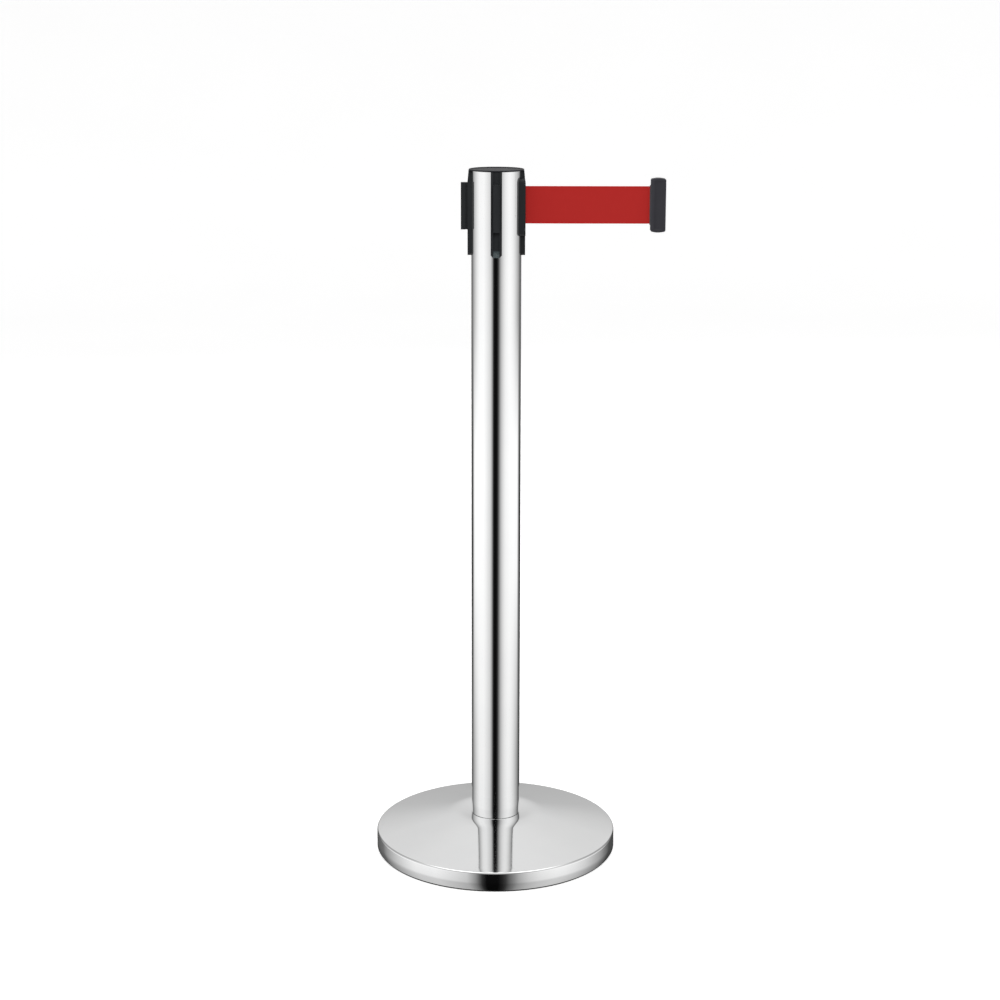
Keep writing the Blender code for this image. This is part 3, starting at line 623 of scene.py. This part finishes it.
def paint_ramp_highlight(piece):
    """The slope at the lower end of a receiver's groove, given a lighter plastic: a painted highlight for
    the light it catches from above.
    """
    piece.data.materials.append(RAMP_HIGHLIGHT_PLASTIC)
    for face in piece.data.polygons:
        sloping = RAMP_SLOPES[0] < face.normal.z < RAMP_SLOPES[1]
        if sloping and face.area > RAMP_AREA and face.center.z < RIB_LOW + RAMP_HEIGHT:
            face.material_index = 1


def head_strips():
    for side in ("left", "front", "rear"):
        name = "receiver_" + side
        piece = even_shading(rounded(copied(name + "_strip", name), 0.00035))
        finished(piece, SLOT_FINISH["black_plastic"], [name])
        # Painted highlight on the slope at the foot of the groove
        paint_ramp_highlight(piece)
    outlet = even_shading(rounded(copied("outlet_strip", "belt_outlet"), 0.0003))
    finished(outlet, SLOT_FINISH["black_plastic"], ["belt_outlet"])


# Belt ----------------------------------------------------------------------------------------------


def belt_path():
    """(x, y) points of the belt's middle, from the coil through the outlet and round the clip's pin."""
    leave, inset = low("belt_lead"), BELT_THICK * 0.35
    start = Vector((leave.x + inset, leave.y + inset))
    corner = Vector((TURN_X, 0))
    into = corner + (start - corner).normalized() * TURN_REACH
    away = Vector((TURN_X + TURN_REACH, 0))
    path = [start.lerp(into, k / LEAD_STEPS) for k in range(LEAD_STEPS)]
    for k in range(TURN_STEPS):
        t = k / TURN_STEPS
        path.append(into.lerp(corner, t).lerp(corner.lerp(away, t), t))
    pin = middle("clip_belt_pin").x
    fork = pin - LOOP_RADIUS * 1.55
    # The free stretch has no points of its own, so that it is one straight span whatever its length.
    path += [away, Vector((STRETCH_FROM, 0)), Vector((CLIP_X, 0)), Vector((fork, 0))]
    open_angle = 180 - math.degrees(math.acos(LOOP_RADIUS / (pin - fork)))
    path += [Vector(point) for point in arc((pin, 0), LOOP_RADIUS, open_angle, -open_angle, LOOP_STEPS)]
    path.append(Vector((fork, 0)).lerp(path[-1], 0.62))
    return path


def belt_section():
    """(sideways, height) points round the belt: warp ribs on both faces and rounded selvages."""
    half = BELT_THICK / 2
    ribs_low, ribs_high = BELT_LOW + SELVAGE, BELT_HIGH - SELVAGE
    face = [(half * 0.5, BELT_LOW), (half, BELT_LOW + 0.0002), (half, ribs_low - 0.0002)]
    count = WARP_RIBS * 4
    for k in range(count + 1):
        dip = WARP_RELIEF * (0.5 + 0.5 * math.cos(2 * math.pi * k / 4))
        face.append((half - dip, ribs_low + (ribs_high - ribs_low) * k / count))
    face += [(half, ribs_high + 0.0002), (half, BELT_HIGH - 0.0002), (half * 0.5, BELT_HIGH)]
    return face + [(-sideways, height) for sideways, height in reversed(face)]


def belt():
    path, section = belt_path(), belt_section()
    shape = bmesh.new()
    rings = []
    for index, point in enumerate(path):
        before, after = path[max(index - 1, 0)], path[min(index + 1, len(path) - 1)]
        along = (after - before).normalized()
        side = Vector((along.y, -along.x))
        ring = [(*(point + side * sideways), height) for sideways, height in section]
        rings.append([shape.verts.new(place_at) for place_at in ring])
    for ring, following in zip(rings, rings[1:]):
        for k in range(len(section)):
            nxt = (k + 1) % len(section)
            shape.faces.new((ring[k], following[k], following[nxt], ring[nxt]))
    shape.faces.new(rings[0])
    shape.faces.new(reversed(rings[-1]))
    bmesh.ops.recalc_face_normals(shape, faces=shape.faces)
    piece = object_of("belt_webbing", shape)
    piece.data.shade_smooth()
    piece.data.set_sharp_from_angle(angle=math.radians(60))
    piece.visible_glossy = False
    finished(piece, SLOT_FINISH["red_webbing"], ["belt_lead", "belt_strip"], body=None)
    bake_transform(piece)


# Clip ----------------------------------------------------------------------------------------------


def clip_outline():
    """The clip from the front as (x, z): straight sides, rounded corners and slightly domed ends."""
    inner, outer = CLIP_X + CLIP_LIP, CLIP_END
    half = (outer - inner) / 2
    radius = (half**2 + CLIP_DOME**2) / (2 * CLIP_DOME)
    centre = inner + half
    shoulder = half - CLIP_CORNER
    spread = math.degrees(math.asin(shoulder / radius))
    dome_centre = CLIP_HALF_HEIGHT + CLIP_DOME - radius
    top = arc((centre, dome_centre), radius, 90 - spread, 90 + spread, 8)
    drop = top[0][1] - CLIP_CORNER
    right = arc((outer - CLIP_CORNER, drop), CLIP_CORNER, 0, 78, 6)
    left = [(2 * centre - x, z) for x, z in reversed(right)]
    upper = right + top + left
    lower = [(2 * centre - x, -z) for x, z in upper]
    return [(x, BELT_Z + z) for x, z in upper + lower]


def in_clip(x, y, z):
    """A point given from the clip's inner end and the belt's middle."""
    return (CLIP_X + x, y, BELT_Z + z)


def clip_cutters():
    """The belt's pocket and slit, the channel and mouth for a receiver's rail, and the screws' bores."""
    end, ceiling = CLIP_HALF_HEIGHT + 0.006, BELT_Z + CHANNEL_TOP
    inside = CLIP_HALF_DEPTH - CLIP_WALL
    pocket, slit = BELT_WIDTH / 2 + 0.0025, BELT_WIDTH / 2 + 0.0006
    slit_half = BELT_THICK / 2 + GAP
    tools = [
        box("pocket", in_clip(POCKET_X[0], -inside, -pocket), in_clip(POCKET_X[1], inside, pocket)),
        box("channel", in_clip(CHANNEL_X[0], -inside, -end), in_clip(CHANNEL_X[1], inside, CHANNEL_TOP)),
        box("mouth", in_clip(MOUTH_X, -MOUTH_HALF, -end), (CLIP_END + PAST, MOUTH_HALF, ceiling)),
        box("slit", in_clip(-PAST, -slit_half, -slit), in_clip(POCKET_X[0] + 0.0004, slit_half, slit)),
    ]
    bore = [(0, BORE_OPEN), (BORE_HEAD, BORE_OPEN), (BORE_HEAD, BORE_SEAT)]
    bore += [(BORE_SHANK, BORE_SEAT), (BORE_SHANK, BORE_END), (0, BORE_END)]
    for name, z in (("lower_bore", -SCREW_Z), ("upper_bore", SCREW_Z)):
        tool = turned(name, bore, SMALL_ROUND)
        tool.data.transform(Matrix.Translation(in_clip(SCREW_X, 0, z)) @ Z_TO_REAR)
        tools.append(tool)
    return tools


def clip_panel(side):
    """Cutter for the shallow hollow panel on a shell's face, with a step along its inner side."""
    left, right = CLIP_X + PANEL_X[0], CLIP_X + PANEL_X[1]
    face, steps, clear = CLIP_HALF_DEPTH, 12, CLIP_HALF_DEPTH + 2 * PAST
    line = [(left, clear), (left, face - PANEL_STEP)]
    for k in range(1, steps + 1):
        t = k / steps
        hollow = PANEL_STEP * (1 - t) + 0.00035 * math.sin(math.pi * t)
        line.append((left + (right - left) * t, face - hollow))
    line.append((right, clear))
    outline = [(x, side * y, 0) for x, y in line]
    return prism("panel", outline, (0, 0, BELT_Z - PANEL_HALF), (0, 0, 2 * PANEL_HALF))


def clip_band(side):
    """Cutter that lets the face of the inner band fall back a little towards the belt."""
    inner, outer = CLIP_X - PAST, CLIP_X + PANEL_X[0] - 0.0004
    face, clear = CLIP_HALF_DEPTH, CLIP_HALF_DEPTH + 2 * PAST
    line = [(inner, face - BAND_TILT), (inner + 0.003, face - BAND_TILT * 0.5), (outer, face)]
    outline = [(x, side * y, 0) for x, y in line + [(outer, clear), (inner, clear)]]
    half = CLIP_HALF_HEIGHT + CLIP_DOME + PAST
    return prism("band", outline, (0, 0, BELT_Z - half), (0, 0, 2 * half))


def clip_shell(name, side, node_name):
    outline = [(x, side * GAP / 2, z) for x, z in clip_outline()]
    shell = prism(name, outline, (0, 0, 0), (0, side * (CLIP_HALF_DEPTH - GAP / 2), 0))
    bevel = shell.modifiers.new("Rounded edges", "BEVEL")
    bevel.width = 0.0011
    bevel.segments = 5
    bevel.limit_method = "WEIGHT"
    weights = shell.data.attributes.new("bevel_weight_edge", "FLOAT", "EDGE")
    for edge in shell.data.edges:
        ends = [shell.data.vertices[index].co.y for index in edge.vertices]
        weights.data[edge.index].value = float(min(abs(y) for y in ends) > CLIP_HALF_DEPTH / 2)
    settled(shell)
    flare_half = BELT_WIDTH / 2 + 0.0014
    near, far = sorted((side * GAP / 2, side * CLIP_LIP_HALF))
    flare = box("flare", in_clip(0, near, -flare_half), in_clip(CLIP_LIP + PAST, far, flare_half))
    rounded(flare, 0.0004)
    join(shell, flare)
    cut(shell, clip_panel(side), clip_band(side), *clip_cutters())
    even_shading(shell)
    shell.visible_glossy = False
    return finished(shell, SLOT_FINISH["clip_plastic"], [node_name], "belt_end")


def clip_screw(name, node_name):
    """Pan-head screw with a cross recess and a rolled thread, with its head towards +Y."""
    head, height, shank = 0.0021, 0.0012, 0.00085
    plain, pitch, flank, crest = 0.0010, 0.0007, 0.0003, 0.00025
    tip = low(node_name).y - (high(node_name).y - height)
    profile = [(0, height), (head * 0.45, height - 0.00005), (head * 0.8, height - 0.0003)]
    profile += [(head, height - 0.0007), (head, 0), (shank, 0)]
    depth = -plain
    while depth > tip + plain:
        profile += [(shank, depth), (shank + crest, depth - flank), (shank, depth - 2 * flank)]
        depth -= pitch
    profile += [(shank * 0.4, tip), (0, tip)]
    screw = turned(name, profile, SMALL_ROUND)
    arm, half, deep = 0.0012, 0.00028, 0.0006
    across = box("recess_x", (-arm, -half, height - deep), (arm, half, height + PAST))
    along = box("recess_y", (-half, -arm, height - deep), (half, arm, height + PAST))
    cut(screw, across, along)
    place_at = Vector((middle(node_name).x, high(node_name).y - height, middle(node_name).z))
    screw.data.transform(Matrix.Translation(place_at) @ Z_TO_REAR)
    finished(screw, SLOT_FINISH["zinc_steel"], [node_name], "belt_end")


def clip():
    clip_shell("clip_half_front", -1, "clip_front_shell")
    clip_shell("clip_half_rear", 1, "clip_rear_shell")
    clip_screw("clip_pan_screw_1", "clip_screw_1")
    clip_screw("clip_pan_screw_2", "clip_screw_2")


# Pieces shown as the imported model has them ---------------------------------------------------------


def inner_pieces():
    for part in frame["record"]["subparts"]:
        shown = frame["nodes"][part["node"]]
        shown.data.materials.clear()
        shown.data.materials.append(SLOT_FINISH[part["material_slot"]])


# Studio --------------------------------------------------------------------------------------------

# Brightness by direction round the object in degrees: 0 is the -Y side and 90 is +X. The two soft panels
# stand left and right and leave a dark gap between them. Their far edges are soft above and low down, and
# crisp in the band between.
GAP_SIDES = (
    (-27, 0.66), (-18, 0.29), (-15.5, 0.15), (-12.5, 0.035), (-8.5, 0.004),
    (3, 0.004), (7, 0.02), (10.3, 0.05), (13, 0.13), (18, 0.27), (23, 0.46), (33, 0.70), (44, 0.86),
)
SOFT_LEFT = (
    (-180, 0.05), (-140, 0.17), (-131, 0.33), (-111, 0.62),
    (-96, 0.82), (-83, 0.95), (-59, 0.97), (-39, 0.80),
)
SOFT_RIGHT = (
    (60, 0.965), (71, 0.95), (83, 0.87), (96, 0.73), (111, 0.52),
    (120, 0.41), (131, 0.235), (145, 0.08), (180, 0.05),
)
CRISP_LEFT = (
    (-180, 0.02), (-144, 0.03), (-131, 0.33), (-121, 0.93),
    (-100, 1.0), (-61, 0.98), (-50, 0.91), (-39, 0.79),
)
CRISP_RIGHT = ((67, 0.96), (94, 0.98), (112, 0.96), (121, 0.90), (130, 0.30), (144, 0.03), (180, 0.02))
CRISP_FROM, CRISP_FULL = (-8.5, -20.5), (-12.0, -15.5)  # that band's bounds, in degrees of height

# How bright the panels are at each height above the horizon in degrees. Light that reaches the eye by one
# reflection only is softer above the horizon.
PANEL_BELOW = ((-90, 0.50), (-30, 0.62), (-22, 0.88), (-13, 1.06), (-5, 0.98))
PANEL_OVERHEAD = ((62, 1.9), (90, 2.3))
PANEL_HEIGHT = PANEL_BELOW + ((36, 1.0), (52, 0.90)) + PANEL_OVERHEAD
PANEL_HEIGHT_DIRECT = PANEL_BELOW + ((4, 0.90), (18, 0.64), (50, 0.66)) + PANEL_OVERHEAD
PANEL_TOP = 78  # above this the ceiling shows
# The gap closes over these heights, up to this brightness
GAP_TOP, GAP_TOP_LIGHT = (52, 62), 0.2
GAP_TOP_DIRECT, GAP_TOP_LIGHT_DIRECT = (3, 20), 0.55

# Brightness of the ceiling and the back wall by height above the horizon in degrees
SKY = (
    (0, 0.43), (8.5, 0.47), (12, 0.51), (16, 0.56), (21, 0.61), (26, 0.65),
    (35, 0.67), (48, 0.73), (60, 0.60), (75, 0.42), (90, 0.40),
)
BACK_LOW = -14  # at the back the wall shows from here up
BACK_EDGE = (0.72, 0.90)  # of the direction's share along +Y, where the wall begins and where it is full
BLEND = 12

STUDIO_STRENGTH = 1.2
FILL_STRENGTH = 0.6  # on matt surfaces, which take more of their light from the lamps
KEY_PLACE, KEY_POWER = (0.25, -2.9, 2.0), 62.0
REAR_PLACE, REAR_POWER = (-0.6, 2.9, 2.0), 34.0
LAMP_SIZE, LAMP_AIM = (1.6, 1.2), (0, 0, 0.4)
FLOOR_GLOW = 0.56
FLOOR_SIDES = 96


def around(tree, share, left, right):
    """Brightness of the panels by direction, with the given far edges."""
    stops = [((degrees + 180) / 360, value) for degrees, value in left + GAP_SIDES + right]
    return ramp(tree, share, stops, "LINEAR")


def by_height(tree, height, stops):
    """A value set at heights in degrees. The height goes from 0 straight down to 1 straight up."""
    tallest = max(value for degrees, value in stops)
    scaled = [(0.5 + degrees / 180, value / tallest) for degrees, value in stops]
    return math_node(tree, "MULTIPLY", ramp(tree, height, scaled, "LINEAR"), tallest)


def between(tree, rise, heights, low_value, high_value):
    """Goes from one value to another between two heights in degrees."""
    start, end = (math.radians(degrees) for degrees in heights)
    return mapped(tree, rise, start, end, low_value, high_value)


def studio_light():
    world = bpy.data.worlds.new("studio")
    bpy.context.scene.world = world
    world.use_nodes = True
    tree = world.node_tree
    direction = node(tree, "ShaderNodeTexCoord").outputs["Generated"]
    parts = node(tree, "ShaderNodeSeparateXYZ", {0: direction})
    towards = math_node(tree, "MULTIPLY", parts.outputs["Y"], -1.0)
    heading = math_node(tree, "ARCTAN2", parts.outputs["X"], towards)
    rise = math_node(tree, "ARCSINE", parts.outputs["Z"])
    share = mapped(tree, heading, -math.pi, math.pi, 0.0, 1.0)
    over = between(tree, rise, (CRISP_FULL[0], CRISP_FROM[0]), 0.0, 1.0)
    under = between(tree, rise, (CRISP_FULL[1], CRISP_FROM[1]), 0.0, 1.0)
    softness = math_node(tree, "MAXIMUM", over, under)
    crisp, soft = around(tree, share, CRISP_LEFT, CRISP_RIGHT), around(tree, share, SOFT_LEFT, SOFT_RIGHT)
    panels = mixed(tree, softness, crisp, soft)
    panels = math_node(tree, "MAXIMUM", panels, between(tree, rise, GAP_TOP, 0.0, GAP_TOP_LIGHT))
    height = mapped(tree, rise, -math.pi / 2, math.pi / 2, 0.0, 1.0)
    path = node(tree, "ShaderNodeLightPath")
    once = mapped(tree, path.outputs["Glossy Depth"], 1.0, 2.0, 1.0, 0.0)
    once = math_node(tree, "MULTIPLY", once, path.outputs["Is Glossy Ray"])
    closed = between(tree, rise, GAP_TOP_DIRECT, 0.0, GAP_TOP_LIGHT_DIRECT)
    panels = math_node(tree, "MAXIMUM", panels, math_node(tree, "MULTIPLY", closed, once))
    always, direct = by_height(tree, height, PANEL_HEIGHT), by_height(tree, height, PANEL_HEIGHT_DIRECT)
    panels = math_node(tree, "MULTIPLY", panels, mixed(tree, once, always, direct))
    level = math_node(tree, "MAXIMUM", math_node(tree, "COSINE", rise), 0.001)
    backward = math_node(tree, "DIVIDE", parts.outputs["Y"], level)
    back = mapped(tree, backward, *BACK_EDGE, 0.0, 1.0)
    start = mapped(tree, back, 0.0, 1.0, math.radians(PANEL_TOP), math.radians(BACK_LOW))
    above = mapped(tree, math_node(tree, "SUBTRACT", rise, start), 0.0, math.radians(BLEND), 0.0, 1.0)
    light = mixed(tree, above, panels, by_height(tree, height, SKY))
    strength = mapped(tree, path.outputs["Is Diffuse Ray"], 0.0, 1.0, STUDIO_STRENGTH, FILL_STRENGTH)
    background = tree.nodes["Background"]
    tree.links.new(light, background.inputs["Color"])
    tree.links.new(strength, background.inputs["Strength"])


def floor():
    """A pale floor that sweeps up far behind on every side. Only the camera sees it."""
    radius, sweep, wall = 9.0, 4.0, 9.0
    flat = radius - sweep
    profile = [(0, 0), (flat, 0)] + arc((flat, sweep), sweep, -90, 0, 24) + [(radius, wall)]
    shape = bmesh.new()
    points = [shape.verts.new((r, 0, z - GAP)) for r, z in profile]
    edges = [shape.edges.new(pair) for pair in zip(points, points[1:])]
    spin(shape, points + edges, FLOOR_SIDES)
    ground = object_of("studio_floor", shape)
    ground.data.shade_smooth()
    material, tree, shader = new_material("studio_floor_paint", specular=0.0)
    paint = noise(tree, place(tree), 2.0, 2.0)
    colour = mixed(tree, paint, (0.93, 0.93, 0.93, 1), (0.95, 0.95, 0.95, 1))
    connect(tree, shader, Base_Color=colour, Emission_Color=colour)
    shader.inputs["Roughness"].default_value = 1.0
    shader.inputs["Emission Strength"].default_value = FLOOR_GLOW
    ground.data.materials.append(material)
    ground.visible_glossy = False
    ground.visible_diffuse = False
    ground.visible_shadow = False


def camera():
    data = bpy.data.cameras.new("camera")
    data.lens = LENS
    data.shift_y = -SHIFT_DOWN
    eye = bpy.data.objects.new("camera", data)
    bpy.context.scene.collection.objects.link(eye)
    eye.location = EYE
    tilt = Matrix.Rotation(math.pi / 2 - LOOK_DOWN, 4, "X") @ Matrix.Rotation(ROLL, 4, "Z")
    eye.rotation_euler = tilt.to_euler()
    bpy.context.scene.camera = eye


def soft_light(name, place_at, power):
    """A large soft lamp that lights the matt surfaces and doesn't show in the polished ones."""
    data = bpy.data.lights.new(name, "AREA")
    data.shape = "RECTANGLE"
    data.size, data.size_y = LAMP_SIZE
    data.energy = power
    lamp = bpy.data.objects.new(name, data)
    bpy.context.scene.collection.objects.link(lamp)
    lamp.visible_glossy = False
    lamp.location = place_at
    lamp.rotation_euler = (Vector(LAMP_AIM) - lamp.location).to_track_quat("-Z", "Y").to_euler()


camera()
base_cover()
floor_pad()
post_tube()
top_cap()
head_strips()
belt()
clip()
inner_pieces()
floor()
studio_light()
soft_light("soft_key", KEY_PLACE, KEY_POWER)
soft_light("rear_fill", REAR_PLACE, REAR_POWER)
bpy.context.scene.view_settings.view_transform = "Standard"
